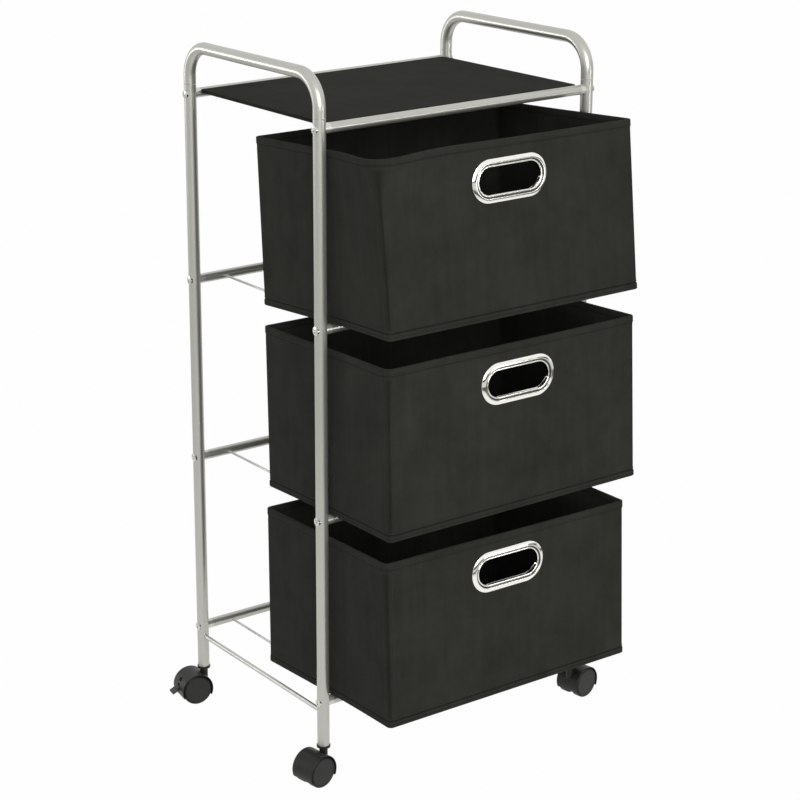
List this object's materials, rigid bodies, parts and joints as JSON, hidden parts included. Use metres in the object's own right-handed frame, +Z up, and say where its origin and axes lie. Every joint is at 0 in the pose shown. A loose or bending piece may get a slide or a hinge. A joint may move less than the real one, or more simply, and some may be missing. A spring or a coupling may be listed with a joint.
{
  "type": "rolling storage shelf with fabric bins",
  "caption": "Rolling storage shelf: tubular steel frame with a covered top panel, hoop handles, open-topped fabric bins that pull out on wires, and hooded twin-wheel castors.",
  "frame": {"origin": "on the floor, at the middle of the four legs", "axes": "+Z up, +X to the right of a person facing the bins' fronts, -Y towards that person"},
  "size_m": [0.5218, 0.4433, 0.9321],
  "materials": {
    "frame_paint": "satin silver-grey powder coat",
    "wire_steel": "zinc-plated drawn wire",
    "bright_steel": "bright zinc-plated steel",
    "panel_board": "raw hardboard",
    "black_fabric": "charcoal non-woven fabric, sewn",
    "lined_board": "hardboard lined with charcoal non-woven fabric",
    "eyelet_chrome": "bright plated",
    "castor_plastic": "black moulded nylon, satin",
    "wheel_plastic": "dark grey moulded nylon, satin",
    "pedal_plastic": "grey moulded nylon, satin"
  },
  "bodies": {
    "frame": {"left_hoop": "frame_paint", "left_side_rod": "wire_steel", "front_left_leg": "frame_paint", "rear_left_leg": "frame_paint", "right_hoop": "frame_paint", "right_side_rod": "wire_steel", "front_right_leg": "frame_paint", "rear_right_leg": "frame_paint", "lower_front_rail": "frame_paint", "lower_rear_rail": "frame_paint", "middle_front_rail": "frame_paint", "middle_rear_rail": "frame_paint", "upper_front_rail": "frame_paint", "upper_rear_rail": "frame_paint", "top_front_rail": "frame_paint", "top_rear_rail": "frame_paint", "rail_saddles": "frame_paint", "rail_inserts": "bright_steel", "rail_screws": "bright_steel", "shelf_wires": "wire_steel", "castor_sockets": "castor_plastic", "top_panel_board": "panel_board", "top_panel_cover": "black_fabric"},
    "upper_bin": {"upper_bin_shell": "black_fabric", "upper_bin_base_board": "lined_board", "upper_bin_eyelet": "eyelet_chrome", "upper_bin_eyelet_washer": "eyelet_chrome"},
    "middle_bin": {"middle_bin_shell": "black_fabric", "middle_bin_base_board": "lined_board", "middle_bin_eyelet": "eyelet_chrome", "middle_bin_eyelet_washer": "eyelet_chrome"},
    "lower_bin": {"lower_bin_shell": "black_fabric", "lower_bin_base_board": "lined_board", "lower_bin_eyelet": "eyelet_chrome", "lower_bin_eyelet_washer": "eyelet_chrome"},
    "front_left_castor": {"front_left_castor_stem": "bright_steel", "front_left_castor_hood": "castor_plastic", "front_left_castor_axle": "bright_steel"},
    "front_left_castor_left_wheel": {"front_left_castor_left_wheel": "wheel_plastic"},
    "front_left_castor_right_wheel": {"front_left_castor_right_wheel": "wheel_plastic"},
    "front_right_castor": {"front_right_castor_stem": "bright_steel", "front_right_castor_hood": "castor_plastic", "front_right_castor_axle": "bright_steel"},
    "front_right_castor_left_wheel": {"front_right_castor_left_wheel": "wheel_plastic"},
    "front_right_castor_right_wheel": {"front_right_castor_right_wheel": "wheel_plastic"},
    "rear_left_castor": {"rear_left_castor_stem": "bright_steel", "rear_left_castor_hood": "castor_plastic", "rear_left_castor_axle": "bright_steel"},
    "rear_left_castor_left_wheel": {"rear_left_castor_left_wheel": "wheel_plastic"},
    "rear_left_castor_right_wheel": {"rear_left_castor_right_wheel": "wheel_plastic"},
    "rear_left_castor_brake_pedal": {"rear_left_castor_brake_pedal": "pedal_plastic"},
    "rear_right_castor": {"rear_right_castor_stem": "bright_steel", "rear_right_castor_hood": "castor_plastic", "rear_right_castor_axle": "bright_steel"},
    "rear_right_castor_left_wheel": {"rear_right_castor_left_wheel": "wheel_plastic"},
    "rear_right_castor_right_wheel": {"rear_right_castor_right_wheel": "wheel_plastic"},
    "rear_right_castor_brake_pedal": {"rear_right_castor_brake_pedal": "pedal_plastic"}
  },
  "joints": [
    {"name": "upper_bin_slide", "type": "slide", "parent": "frame", "child": "upper_bin", "axis": [0, -1, 0], "range_m": [-0.1415, 0]},
    {"name": "middle_bin_slide", "type": "slide", "parent": "frame", "child": "middle_bin", "axis": [0, -1, 0], "range_m": [-0.1475, 0]},
    {"name": "lower_bin_slide", "type": "slide", "parent": "frame", "child": "lower_bin", "axis": [0, -1, 0], "range_m": [-0.1445, 0]},
    {"name": "front_left_castor_swivel", "type": "hinge", "parent": "frame", "child": "front_left_castor", "pos_m": [-0.21, -0.14575, 0.0451], "axis": [0, 0, 1], "continuous": true},
    {"name": "front_left_castor_left_wheel_spin", "type": "hinge", "parent": "front_left_castor", "child": "front_left_castor_left_wheel", "pos_m": [-0.2263, -0.1483, 0.02125], "axis": [-0.1547, 0.988, 0], "continuous": true},
    {"name": "front_left_castor_right_wheel_spin", "type": "hinge", "parent": "front_left_castor", "child": "front_left_castor_right_wheel", "pos_m": [-0.2263, -0.1483, 0.02125], "axis": [-0.1547, 0.988, 0], "continuous": true},
    {"name": "front_right_castor_swivel", "type": "hinge", "parent": "frame", "child": "front_right_castor", "pos_m": [0.21, -0.14575, 0.0451], "axis": [0, 0, 1], "continuous": true},
    {"name": "front_right_castor_left_wheel_spin", "type": "hinge", "parent": "front_right_castor", "child": "front_right_castor_left_wheel", "pos_m": [0.22625, -0.14289, 0.02125], "axis": [0.1736, -0.9848, 0], "continuous": true},
    {"name": "front_right_castor_right_wheel_spin", "type": "hinge", "parent": "front_right_castor", "child": "front_right_castor_right_wheel", "pos_m": [0.22625, -0.14289, 0.02125], "axis": [0.1736, -0.9848, 0], "continuous": true},
    {"name": "rear_left_castor_swivel", "type": "hinge", "parent": "frame", "child": "rear_left_castor", "pos_m": [-0.21, 0.14575, 0.0451], "axis": [0, 0, 1], "continuous": true},
    {"name": "rear_left_castor_left_wheel_spin", "type": "hinge", "parent": "rear_left_castor", "child": "rear_left_castor_left_wheel", "pos_m": [-0.22627, 0.1485, 0.02125], "axis": [0.1668, 0.986, 0], "continuous": true},
    {"name": "rear_left_castor_right_wheel_spin", "type": "hinge", "parent": "rear_left_castor", "child": "rear_left_castor_right_wheel", "pos_m": [-0.22627, 0.1485, 0.02125], "axis": [0.1668, 0.986, 0], "continuous": true},
    {"name": "rear_left_castor_brake_press", "type": "hinge", "parent": "rear_left_castor", "child": "rear_left_castor_brake_pedal", "pos_m": [-0.23859, 0.15059, 0.02525], "axis": [-0.1668, -0.986, 0], "range_deg": [0, 14]},
    {"name": "rear_right_castor_swivel", "type": "hinge", "parent": "frame", "child": "rear_right_castor", "pos_m": [0.21, 0.14575, 0.0451], "axis": [0, 0, 1], "continuous": true},
    {"name": "rear_right_castor_left_wheel_spin", "type": "hinge", "parent": "rear_right_castor", "child": "rear_right_castor_left_wheel", "pos_m": [0.22614, 0.14232, 0.02125], "axis": [-0.2079, -0.9781, 0], "continuous": true},
    {"name": "rear_right_castor_right_wheel_spin", "type": "hinge", "parent": "rear_right_castor", "child": "rear_right_castor_right_wheel", "pos_m": [0.22614, 0.14232, 0.02125], "axis": [-0.2079, -0.9781, 0], "continuous": true},
    {"name": "rear_right_castor_brake_press", "type": "hinge", "parent": "rear_right_castor", "child": "rear_right_castor_brake_pedal", "pos_m": [0.23837, 0.13972, 0.02525], "axis": [0.2079, 0.9781, 0], "range_deg": [0, 14]}
  ]
}
